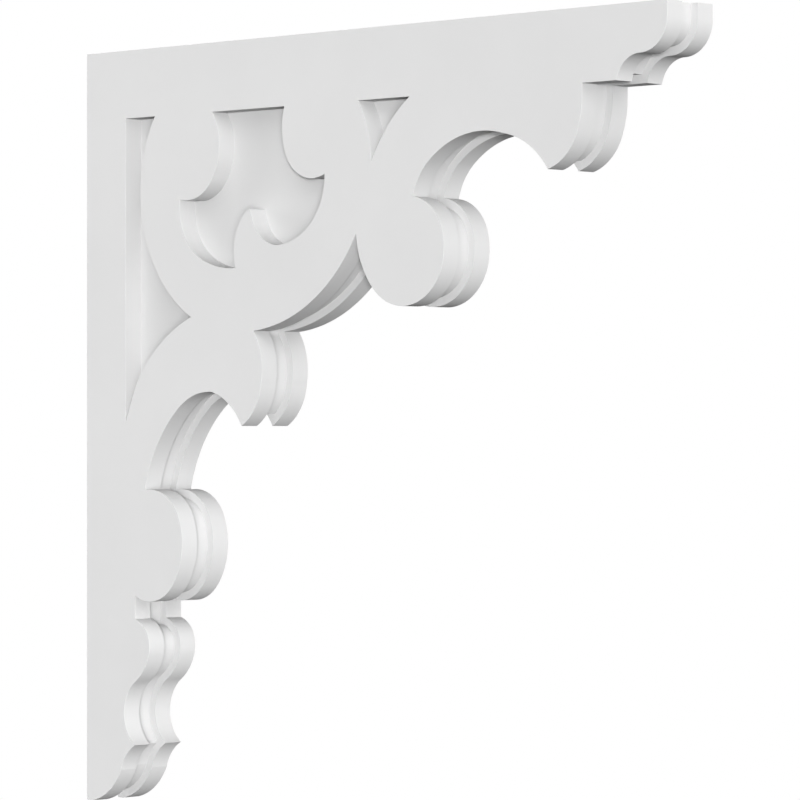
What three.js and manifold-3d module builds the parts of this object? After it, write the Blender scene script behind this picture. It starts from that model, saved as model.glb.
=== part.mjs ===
// Scroll-cut bracket corbel, glued up from boards of white cellular PVC.
// X runs out from the wall, Y across the thickness and Z up, in millimetres.
// The origin is the middle of the face that goes against the wall.

import * as THREE from 'three';
import { mergeVertices } from 'three/addons/utils/BufferGeometryUtils.js';
import Module from 'manifold-3d';

const wasm = await Module();
wasm.setup();

// Overall size
const HEIGHT = 914.4;
const PROJECTION = 929.5;
const THICKNESS = 76.2;

// Build-up through the thickness
const GLUE_LINE = 0.3;
const BOARD = (THICKNESS - 2 * GLUE_LINE) / 3;
const CORE_SETBACK = 9.5;

// Main lines of the pattern, measured from the wall and from the foot
const RAIL_UNDERSIDE = HEIGHT - 82.55;
const END_FACE_FOOT = HEIGHT - 19.4;
const STILE_EDGE = 70.4;
const FOOT_STEM = 87.4;

// Corners where two curves of the scalloped edge meet
const NOSE_CORNER = [858.2, RAIL_UNDERSIDE];
const TOP_CUSP = [758.3, 740.2];
const TOP_NECK = [553.4, 718.3];
const SPIKE = [463, 679.5];
const MIDDLE_NECK = [293.4, 570.4];
const MIDDLE_CUSP = [273.5, 458.5];
const LOWER_NECK = [105, 380.6];
const FOOT_CUSP = [87, 71.5];

// Each step is [x, z] for a straight run to that point, or [x, z, radius] for an arc to it.
// An arc with a positive radius bends clockwise, one with a negative radius the other way.
const END_OGEE = [
  [PROJECTION, END_FACE_FOOT],
  [891.2, 859.5, 38],
  [...NOSE_CORNER, -33],
];
const TOP_LOBE = [
  [808.5, RAIL_UNDERSIDE],
  [808.5, 815],
  [801.3, 779.8, 118],
  [...TOP_CUSP, 62.5],
];
const TOP_SCALLOP = [
  [692, 783, -98.5],
  [579, 758.5, -126],
  [...TOP_NECK, -75.5],
];
const TOP_BULB = [
  [600.5, 671, 53.5],
  [489.5, 616.5, 64],
  [...SPIKE, 105.5],
];
const RING_UNDERSIDE = [[...MIDDLE_NECK, 216]];
const MIDDLE_LOBE = [
  [306.3, 507, 79],
  [...MIDDLE_CUSP, 64.5],
];
const LOWER_SCALLOP = [
  [222, 499, -82.5],
  [162.5, 478.5, -82],
  [...LOWER_NECK, -179],
];
const LOWER_BULB = [
  [166.5, 343.5, 53.5],
  [152.5, 265.5, 82],
  [FOOT_STEM, 253, 51.5],
];
const FOOT_LOBE = [
  [FOOT_STEM, 224.6],
  [111.3, 180.5, 34.5],
  [88.2, 149, 60.5],
  [...FOOT_CUSP, -47.5],
];
const FOOT_OGEE = [
  [61.8, 40.4, -49.5],
  [10, 0, 73.6],
  [0, 0],
];

// The whole scalloped edge, from the top outer corner down to the foot of the wall face
const EDGE_START = [PROJECTION, HEIGHT];
const EDGE_STEPS = [
  ...END_OGEE,
  ...TOP_LOBE,
  ...TOP_SCALLOP,
  ...TOP_BULB,
  ...RING_UNDERSIDE,
  ...MIDDLE_LOBE,
  ...LOWER_SCALLOP,
  ...LOWER_BULB,
  ...FOOT_LOBE,
  ...FOOT_OGEE,
];

// Cut-outs through each face board, each hanging from the underside of the top rail
const SLOT_START = [STILE_EDGE, RAIL_UNDERSIDE];
const SLOT_STEPS = [
  [122.6, RAIL_UNDERSIDE],
  [186, 588.6, -174],
  [96, 520, -207],
  [STILE_EDGE, 461, -350],
];
const CLUB_START = [223, RAIL_UNDERSIDE];
const CLUB_STEPS = [
  [345.5, RAIL_UNDERSIDE],
  [346.1, 779.7, -82.5],
  [412, 750.3, -48],
  [343.4, 671.2, 79],
  [292.2, 700.5, 45],
  [287.4, 713.8],
  [274.2, 705, -26],
  [262.6, 645.3, -64.5],
  [210, 654.7, 121.5],
  [167.1, 729.9, 70.5],
  [225.7, 757, -51.5],
  [...CLUB_START, -70.5],
];
const WEDGE_START = [466.5, RAIL_UNDERSIDE];
const WEDGE_STEPS = [
  [548, RAIL_UNDERSIDE],
  [487.2, 759.7, -188],
  [...WEDGE_START, -143],
];

// How finely arcs are cut into chords, and how small a turn counts as smooth
const ARC_STEP = THREE.MathUtils.degToRad(4);
const SMOOTH_TURN = THREE.MathUtils.degToRad(20);
const SETBACK_TOLERANCE = 0.02;

// How far a cutter runs past both faces of its board
const CUT_OVERRUN = 5;

const COLOUR_WHITE = 0xf1f1ef;
const ROUGHNESS = 0.55;

function arcPoints(start, end, radius) {
  const chord = end.clone().sub(start);
  const half = chord.length() / 2;
  const rise = Math.sqrt(radius * radius - half * half) * Math.sign(radius);
  const right = new THREE.Vector2(chord.y, -chord.x).normalize();
  const centre = start.clone().add(end).multiplyScalar(0.5).addScaledVector(right, rise);
  const sweep = -2 * Math.asin(half / radius);
  const count = Math.ceil(Math.abs(sweep) / ARC_STEP);
  const points = [];
  for (let i = 1; i < count; i += 1) {
    points.push(start.clone().rotateAround(centre, (sweep * i) / count));
  }
  points.push(end);
  return points;
}

function trace(start, steps) {
  const points = [new THREE.Vector2(...start)];
  for (const [x, z, radius] of steps) {
    const end = new THREE.Vector2(x, z);
    if (radius === undefined) {
      points.push(end);
    } else {
      points.push(...arcPoints(points.at(-1), end, radius));
    }
  }
  return points;
}

function inward(from, to) {
  return new THREE.Vector2(to.y - from.y, from.x - to.x).normalize();
}

function distanceToEdge(point, edge) {
  let nearest = Infinity;
  for (let i = 1; i < edge.length; i += 1) {
    const along = edge[i].clone().sub(edge[i - 1]);
    const offset = point.clone().sub(edge[i - 1]);
    const share = THREE.MathUtils.clamp(offset.dot(along) / along.lengthSq(), 0, 1);
    nearest = Math.min(nearest, offset.addScaledVector(along, -share).length());
  }
  return nearest;
}

// Moves an edge into the board by a depth: smooth runs stay parallel, inner corners are
// rounded, and what would cross over itself at an outer corner is dropped.
function setBack(edge, depth) {
  const moved = [];
  edge.forEach((point, i) => {
    const before = inward(edge[Math.max(i - 1, 0)], edge[Math.max(i, 1)]);
    const after = i < edge.length - 1 ? inward(point, edge[i + 1]) : before;
    const turn = Math.atan2(before.cross(after), before.dot(after));
    if (Math.abs(turn) < SMOOTH_TURN) {
      const middle = before.clone().add(after).normalize();
      moved.push(point.clone().addScaledVector(middle, depth / Math.cos(turn / 2)));
      return;
    }
    const count = Math.ceil(Math.abs(turn) / SMOOTH_TURN);
    for (let k = 0; k <= count; k += 1) {
      const normal = before.clone().rotateAround(new THREE.Vector2(), (turn * k) / count);
      moved.push(point.clone().addScaledVector(normal, depth));
    }
  });
  return moved.filter((point) => distanceToEdge(point, edge) > depth - SETBACK_TOLERANCE);
}

function prism(outline, depth) {
  return new THREE.ExtrudeGeometry(new THREE.Shape(outline), { depth, bevelEnabled: false });
}

function toSolid(geometry) {
  const bare = geometry.clone();
  bare.deleteAttribute('normal');
  bare.deleteAttribute('uv');
  const merged = mergeVertices(bare);
  const mesh = new wasm.Mesh({
    numProp: 3,
    vertProperties: merged.attributes.position.array,
    triVerts: new Uint32Array(merged.index.array),
  });
  return new wasm.Manifold(mesh);
}

function toGeometry(solid) {
  const { vertProperties, triVerts } = solid.getMesh();
  const geometry = new THREE.BufferGeometry();
  geometry.setAttribute('position', new THREE.BufferAttribute(vertProperties, 3));
  geometry.setIndex(new THREE.BufferAttribute(triVerts, 1));
  geometry.computeVertexNormals();
  return geometry;
}

function boardGeometry(outline, cutOuts) {
  let solid = toSolid(prism(outline, BOARD));
  for (const cutOut of cutOuts) {
    const cutter = prism(cutOut, BOARD + 2 * CUT_OVERRUN).translate(0, 0, -CUT_OVERRUN);
    solid = solid.subtract(toSolid(cutter));
  }
  return toGeometry(solid);
}

function boardMesh(name, geometry, backY) {
  const material = new THREE.MeshStandardMaterial({
    color: COLOUR_WHITE,
    roughness: ROUGHNESS,
    metalness: 0,
  });
  const mesh = new THREE.Mesh(geometry, material);
  mesh.name = name;
  mesh.rotation.x = Math.PI / 2;
  mesh.position.set(0, backY, -HEIGHT / 2);
  return mesh;
}

const wallTop = new THREE.Vector2(0, HEIGHT);
const edge = trace(EDGE_START, EDGE_STEPS);
const cutOuts = [
  trace(SLOT_START, SLOT_STEPS),
  trace(CLUB_START, CLUB_STEPS).slice(1),
  trace(WEDGE_START, WEDGE_STEPS).slice(1),
];
const faceBoard = boardGeometry([wallTop, ...edge], cutOuts);
const coreBoard = boardGeometry([wallTop, ...setBack(edge, CORE_SETBACK)], []);
const boardPitch = BOARD + GLUE_LINE;

const corbel = new THREE.Group();
corbel.add(
  boardMesh('front_panel', faceBoard, BOARD / 2 - boardPitch),
  boardMesh('core_panel', coreBoard, BOARD / 2),
  boardMesh('back_panel', faceBoard, BOARD / 2 + boardPitch),
);

export default corbel;
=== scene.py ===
"""Scroll-cut bracket corbel of white cellular PVC boards, held up in a plain pale studio."""

import math

import bmesh
import bpy
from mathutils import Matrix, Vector


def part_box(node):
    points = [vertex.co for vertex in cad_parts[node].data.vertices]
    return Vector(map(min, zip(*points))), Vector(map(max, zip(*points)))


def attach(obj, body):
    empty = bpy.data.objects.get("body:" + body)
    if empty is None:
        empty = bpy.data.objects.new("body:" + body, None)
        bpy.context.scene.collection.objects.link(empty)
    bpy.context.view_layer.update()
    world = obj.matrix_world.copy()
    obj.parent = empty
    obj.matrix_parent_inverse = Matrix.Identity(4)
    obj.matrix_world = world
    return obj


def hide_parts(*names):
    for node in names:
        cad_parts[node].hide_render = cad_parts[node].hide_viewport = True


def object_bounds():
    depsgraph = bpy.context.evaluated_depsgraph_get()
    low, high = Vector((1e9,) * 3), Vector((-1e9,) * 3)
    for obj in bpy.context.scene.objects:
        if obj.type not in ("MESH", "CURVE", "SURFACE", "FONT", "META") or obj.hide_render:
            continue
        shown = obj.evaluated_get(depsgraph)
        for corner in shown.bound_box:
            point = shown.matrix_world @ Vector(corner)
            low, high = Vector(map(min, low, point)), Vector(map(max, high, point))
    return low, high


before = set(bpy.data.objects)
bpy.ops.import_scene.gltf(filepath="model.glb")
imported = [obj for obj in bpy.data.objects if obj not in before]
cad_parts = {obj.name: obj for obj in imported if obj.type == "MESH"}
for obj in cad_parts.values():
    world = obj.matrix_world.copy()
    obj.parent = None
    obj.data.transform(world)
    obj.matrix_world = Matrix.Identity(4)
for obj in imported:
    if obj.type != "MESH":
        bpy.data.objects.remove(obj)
cad_low, cad_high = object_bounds()

# Photograph: a level camera at the bracket's mid-height, turned off the front face towards the open end.
# The front edge of the wall face lies this far in front of the camera and to its left, in metres.
IMAGE_SIDE = 800
SENSOR_WIDTH = 36.0
FOCAL_PIXELS = 4056.6
HORIZON_ROW = 427.1
VIEW_ANGLE = math.radians(43.95)
WALL_EDGE_DEPTH = 4.976
WALL_EDGE_OFFSET = 0.384

# Boards, in metres
ARRIS_EASE = 0.0002
ARRIS_STEPS = 3
WELD_DISTANCE = 1e-6
LONGEST_MITRE = 2.0

# How squarely a face looks along Y if it is the front of a solid, or a flat side of a board
FRONT_FACING = 0.9
FLAT_FACING = 0.99

# The turn that makes a corner in an outline, and the one that makes a crease along it
CORNER_TURN = math.radians(9)
SHARP_ANGLE = math.radians(35)

# White PVC: linear colours, noise scales per metre, depth in metres
PVC_GREYER = (0.71, 0.71, 0.71, 1.0)
PVC_WHITER = (0.73, 0.73, 0.73, 1.0)
FACE_ROUGHNESS = (0.6, 0.68)
EDGE_ROUGHNESS = (0.66, 0.74)
EDGE_TO_FACE = (0.6, 0.95)
NOISE_SPAN = (0.3, 0.7)
NOISE_ROUGHNESS = 0.55
CLOUD_SCALE = 7.0
CLOUD_DETAIL = 3.0
PATCH_SCALE = 24.0
PATCH_DETAIL = 4.0
SKIN_SCALE = 900.0
SKIN_SHARE = 0.35
CUTTER_SCALE = 420.0
CUTTER_STRETCH = (1.0, 0.02, 1.0)
FINE_DETAIL = 2.0
RELIEF_STRENGTH = 0.5
RELIEF_DEPTH = 0.00005

# Studio
WHITE = (1.0, 1.0, 1.0, 1.0)
FLOOR_DROP = 0.9
FLOOR_RADIUS = 1.5
FLOOR_SIDES = 96
FLOOR_GREY = (0.8, 0.8, 0.8, 1.0)
FLOOR_ROUGHNESS = 0.9
FLOOR_GLOW = 0.85
AMBIENT_LIGHT = 0.01

# Lamps: azimuth (0 shines along +Y, 90 along -X), elevation and softness in degrees, strength, bounces.
# The first six light what the photograph shows, the last two the back, the wall face and the top.
LAMPS = {
    "level_lamp": (45.0, 0.0, 6.0, 1.75, 0),
    "high_lamp": (30.0, 45.0, 60.0, 0.98, 1),
    "wide_lamp": (70.0, 8.0, 90.0, 0.69, 0),
    "side_lamp": (105.0, 25.0, 40.0, 0.67, 0),
    "low_lamp": (45.0, -10.0, 20.0, 1.24, 1),
    "left_lamp": (-75.0, 5.0, 20.0, 0.86, 0),
    "back_lamp": (205.0, 0.0, 10.0, 2.9, 3),
    "wall_lamp": (268.0, 50.0, 2.0, 1.8, 3),
}


def add_object(name, data):
    piece = bpy.data.objects.new(name, data)
    bpy.context.scene.collection.objects.link(piece)
    return piece


def widest(loop):
    return max(point.x for point in loop) - min(point.x for point in loop)


def face_loops(node):
    """The outlines of a board's front face, rim first, as lists of (x, z) with the board on their left."""
    work = bmesh.new()
    work.from_mesh(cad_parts[node].data)
    bmesh.ops.remove_doubles(work, verts=work.verts, dist=WELD_DISTANCE)
    work.normal_update()
    onward = {}
    for face in work.faces:
        if face.normal.y > -FRONT_FACING:
            continue
        for corner in face.loops:
            if corner.link_loop_radial_next.face.normal.y > -FRONT_FACING:
                onward[corner.vert] = corner.link_loop_next.vert
    loops = []
    while onward:
        vert, following = onward.popitem()
        loop = [vert]
        while following is not loop[0]:
            loop.append(following)
            following = onward.pop(following)
        loops.append([Vector((v.co.x, v.co.z)) for v in loop])
    work.free()
    return sorted(loops, key=widest, reverse=True)


def turn_at(before, point, after):
    return (point - before).angle_signed(after - point, 0.0)


def reach(start, end, length):
    """The point on the line from start through end that lies no further than length away."""
    gap = end - start
    return start + gap * min(1.0, length / gap.length)


def refined(loop):
    """The outline with a point added between each pair of its points, on the smooth curve through them.

    The weights give the middle of a cubic through four points, of a parabola through three where the
    curve ends at a corner, and of a straight line between two corners.
    """
    count = len(loop)
    corner = [abs(turn_at(loop[i - 1], loop[i], loop[(i + 1) % count])) > CORNER_TURN for i in range(count)]
    fine = []
    for i, start in enumerate(loop):
        j = (i + 1) % count
        end = loop[j]
        span = (end - start).length
        before = reach(start, loop[i - 1], span)
        after = reach(end, loop[(j + 1) % count], span)
        if corner[i] and corner[j]:
            middle = (start + end) / 2
        elif corner[i]:
            middle = (3 * start + 6 * end - after) / 8
        elif corner[j]:
            middle = (6 * start + 3 * end - before) / 8
        else:
            middle = (9 * start + 9 * end - before - after) / 16
        fine += [start, middle]
    return fine


def inset(loop, depth):
    """The outline moved into the board by a depth, with mitred corners."""
    count = len(loop)
    moved = []
    for i, point in enumerate(loop):
        before = (point - loop[i - 1]).normalized()
        after = (loop[(i + 1) % count] - point).normalized()
        normal = Vector((-before.y - after.y, before.x + after.x)).normalized()
        share = normal.dot(Vector((-before.y, before.x)))
        mitre = 1 / max(share, 1 / LONGEST_MITRE)
        moved.append(point + normal * depth * mitre)
    return moved


def arris_rows(eased):
    """(depth into the board, distance from its face) of each row of points that rounds off an arris.

    One more row, below the rounding, keeps the shading of the edge flat.
    """
    if not eased:
        return [(0.0, 0.0)]
    rows = []
    for step in range(ARRIS_STEPS + 1):
        angle = math.pi / 2 * step / ARRIS_STEPS
        rows.append((ARRIS_EASE * (1 - math.sin(angle)), ARRIS_EASE * (1 - math.cos(angle))))
    return rows + [(0.0, 2 * ARRIS_EASE)]


def shade_board(work):
    """Shades the flat sides flat and the edges smooth, with a crease at every corner and sharp arris."""
    for face in work.faces:
        face.smooth = abs(face.normal.y) < FLAT_FACING
    for edge in work.edges:
        start, end = edge.verts
        across_thickness = start.co.y != end.co.y
        edge.smooth = edge.calc_face_angle() < (CORNER_TURN if across_thickness else SHARP_ANGLE)


def board_mesh(name, edges, front, back):
    """A board from y = front to y = back, with (outline, eased in front, eased behind) for each edge."""
    work = bmesh.new()
    caps = [[], []]
    for loop, eased_front, eased_back in edges:
        rows = [(depth, front + rise) for depth, rise in arris_rows(eased_front)]
        rows += [(depth, back - rise) for depth, rise in reversed(arris_rows(eased_back))]
        rings = []
        for depth, y in rows:
            rings.append([work.verts.new((p.x, y, p.y)) for p in inset(loop, depth)])
        for ring, following in zip(rings, rings[1:]):
            for i in range(len(ring)):
                work.faces.new((ring[i - 1], following[i - 1], following[i], ring[i]))
        for cap, ring in zip(caps, (rings[0], rings[-1])):
            cap += [work.edges.get((ring[i - 1], ring[i])) for i in range(len(ring))]
    for cap in caps:
        bmesh.ops.triangle_fill(work, use_beauty=True, use_dissolve=False, edges=cap)
    bmesh.ops.recalc_face_normals(work, faces=work.faces)
    shade_board(work)
    mesh = bpy.data.meshes.new(name)
    work.to_mesh(mesh)
    work.free()
    return mesh


def place_board(node, name, mesh, material):
    piece = add_object(name, mesh)
    piece.data.materials.append(material)
    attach(piece, "root")
    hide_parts(node)


def make_face_board(node, name, material):
    """A pocketed board: its arrises are eased on the outer face and left sharp against the core."""
    low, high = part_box(node)
    outer_in_front = low.y < 0
    edges = [(refined(loop), outer_in_front, not outer_in_front) for loop in face_loops(node)]
    place_board(node, name, board_mesh(name, edges, low.y, high.y), material)


def make_core_board(node, name, material):
    """The set-back middle board, which closes up to the boards in front of it and behind it."""
    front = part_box("front_panel")[1].y
    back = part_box("back_panel")[0].y
    edges = [(refined(loop), False, False) for loop in face_loops(node)]
    place_board(node, name, board_mesh(name, edges, front, back), material)


def add_node(tree, kind, **settings):
    """A shader node with its properties set by name and its unlinked sockets by socket name."""
    node = tree.nodes.new("ShaderNode" + kind)
    for name, value in settings.pop("inputs", {}).items():
        node.inputs[name].default_value = value
    for name, value in settings.items():
        setattr(node, name, value)
    return node


def add_noise(tree, place, scale, detail):
    sockets = {"Scale": scale, "Detail": detail, "Roughness": NOISE_ROUGHNESS}
    noise = add_node(tree, "TexNoise", inputs=sockets)
    tree.links.new(place, noise.inputs["Vector"])
    return noise.outputs["Fac"]


def add_range(tree, value, source, result):
    """Carries a value over from the range of its source to the range of the result."""
    sockets = {"From Min": source[0], "From Max": source[1], "To Min": result[0], "To Max": result[1]}
    node = add_node(tree, "MapRange", inputs=sockets)
    tree.links.new(value, node.inputs["Value"])
    return node.outputs["Result"]


def add_blend(tree, share, low, high):
    """Runs from one value to the other as the share goes from 0 to 1."""
    node = add_node(tree, "Mix", data_type="FLOAT")
    tree.links.new(share, node.inputs["Factor"])
    tree.links.new(low, node.inputs["A"])
    tree.links.new(high, node.inputs["B"])
    return node.outputs["Result"]


def stretched(tree, place, factors):
    node = add_node(tree, "Mapping", inputs={"Scale": factors})
    tree.links.new(place, node.inputs["Vector"])
    return node.outputs["Vector"]


def pvc_material():
    """White cellular PVC: matt rolled faces and duller sawn edges, with faint unevenness in both."""
    material = bpy.data.materials.new("pvc_board")
    material.use_nodes = True
    tree = material.node_tree
    shader = tree.nodes["Principled BSDF"]
    place = add_node(tree, "TexCoord")
    spot = place.outputs["Object"]

    # 1 on the flat faces of a board, 0 on its sawn edges
    split = add_node(tree, "SeparateXYZ")
    tree.links.new(place.outputs["Normal"], split.inputs["Vector"])
    facing = add_node(tree, "Math", operation="ABSOLUTE")
    tree.links.new(split.outputs["Y"], facing.inputs["Value"])
    face_share = add_range(tree, facing.outputs["Value"], EDGE_TO_FACE, (0.0, 1.0))

    # Colour: wide clouds of slightly whiter and greyer sheet
    clouds = add_noise(tree, spot, CLOUD_SCALE, CLOUD_DETAIL)
    tint = add_node(tree, "ValToRGB")
    colours = (PVC_GREYER, PVC_WHITER)
    for stop, position, colour in zip(tint.color_ramp.elements, NOISE_SPAN, colours):
        stop.position = position
        stop.color = colour
    tree.links.new(clouds, tint.inputs["Fac"])
    tree.links.new(tint.outputs["Color"], shader.inputs["Base Color"])

    # Gloss: handling patches on the faces, duller edges
    patches = add_noise(tree, spot, PATCH_SCALE, PATCH_DETAIL)
    face_gloss = add_range(tree, patches, NOISE_SPAN, FACE_ROUGHNESS)
    edge_gloss = add_range(tree, patches, NOISE_SPAN, EDGE_ROUGHNESS)
    tree.links.new(add_blend(tree, face_share, edge_gloss, face_gloss), shader.inputs["Roughness"])

    # Relief: a fine skin on the faces, and cutter marks that run across the thickness on the edges
    skin = add_range(tree, add_noise(tree, spot, SKIN_SCALE, FINE_DETAIL), NOISE_SPAN, (0.0, SKIN_SHARE))
    along_cut = stretched(tree, spot, CUTTER_STRETCH)
    cuts = add_noise(tree, along_cut, CUTTER_SCALE, FINE_DETAIL)
    relief = add_node(tree, "Bump", inputs={"Strength": RELIEF_STRENGTH, "Distance": RELIEF_DEPTH})
    tree.links.new(add_blend(tree, face_share, cuts, skin), relief.inputs["Height"])
    tree.links.new(relief.outputs["Normal"], shader.inputs["Normal"])
    return material


def make_camera():
    """Places the camera by its depth and sideways offset from the front edge of the wall face."""
    forward = Vector((-math.sin(VIEW_ANGLE), math.cos(VIEW_ANGLE), 0.0))
    right = Vector((math.cos(VIEW_ANGLE), math.sin(VIEW_ANGLE), 0.0))
    wall_edge = Vector((cad_low.x, cad_low.y, (cad_low.z + cad_high.z) / 2))
    data = bpy.data.cameras.new("camera")
    data.sensor_width = SENSOR_WIDTH
    data.lens = FOCAL_PIXELS / IMAGE_SIDE * SENSOR_WIDTH
    data.shift_y = (HORIZON_ROW - IMAGE_SIDE / 2) / IMAGE_SIDE
    camera = add_object("camera", data)
    camera.location = wall_edge - WALL_EDGE_DEPTH * forward + WALL_EDGE_OFFSET * right
    camera.rotation_euler = forward.to_track_quat("-Z", "Y").to_euler()
    bpy.context.scene.camera = camera


def make_floor():
    """A round pale floor that fades into the white backdrop and throws no light up at the bracket."""
    mesh = bpy.data.meshes.new("floor")
    work = bmesh.new()
    bmesh.ops.create_circle(work, cap_ends=True, segments=FLOOR_SIDES, radius=FLOOR_RADIUS)
    work.to_mesh(mesh)
    work.free()
    floor = add_object("floor", mesh)
    floor.location = ((cad_low.x + cad_high.x) / 2, 0.0, cad_low.z - FLOOR_DROP)
    material = bpy.data.materials.new("floor")
    material.use_nodes = True
    shader = material.node_tree.nodes["Principled BSDF"]
    shader.inputs["Base Color"].default_value = FLOOR_GREY
    shader.inputs["Roughness"].default_value = FLOOR_ROUGHNESS
    shader.inputs["Emission Color"].default_value = WHITE
    shader.inputs["Emission Strength"].default_value = FLOOR_GLOW
    floor.data.materials.append(material)
    floor.visible_diffuse = False
    floor.visible_glossy = False


def make_world():
    """White to the camera, and nearly dark to the bracket, which the lamps light."""
    world = bpy.data.worlds.new("studio")
    bpy.context.scene.world = world
    world.use_nodes = True
    tree = world.node_tree
    ambient = tree.nodes["Background"]
    ambient.inputs["Color"].default_value = WHITE
    ambient.inputs["Strength"].default_value = AMBIENT_LIGHT
    backdrop = add_node(tree, "Background", inputs={"Color": WHITE})
    rays = add_node(tree, "LightPath")
    mix = add_node(tree, "MixShader")
    tree.links.new(rays.outputs["Is Camera Ray"], mix.inputs["Fac"])
    tree.links.new(ambient.outputs["Background"], mix.inputs[1])
    tree.links.new(backdrop.outputs["Background"], mix.inputs[2])
    tree.links.new(mix.outputs["Shader"], tree.nodes["World Output"].inputs["Surface"])


def add_sun(name, azimuth, elevation, softness, strength, bounces):
    """A soft lamp, far enough away to light the whole bracket evenly."""
    turn = math.radians(azimuth)
    tilt = math.radians(elevation)
    source = Vector((math.sin(turn) * math.cos(tilt), -math.cos(turn) * math.cos(tilt), math.sin(tilt)))
    data = bpy.data.lights.new(name, "SUN")
    data.angle = math.radians(softness)
    data.energy = strength
    data.cycles.max_bounces = bounces
    lamp = add_object(name, data)
    lamp.rotation_euler = source.to_track_quat("Z", "Y").to_euler()


def make_lights():
    for name, settings in LAMPS.items():
        add_sun(name, *settings)


pvc = pvc_material()
make_face_board("front_panel", "front_board", pvc)
make_core_board("core_panel", "core_board", pvc)
make_face_board("back_panel", "back_board", pvc)
make_camera()
make_floor()
make_world()
make_lights()
bpy.context.scene.view_settings.view_transform = "Standard"
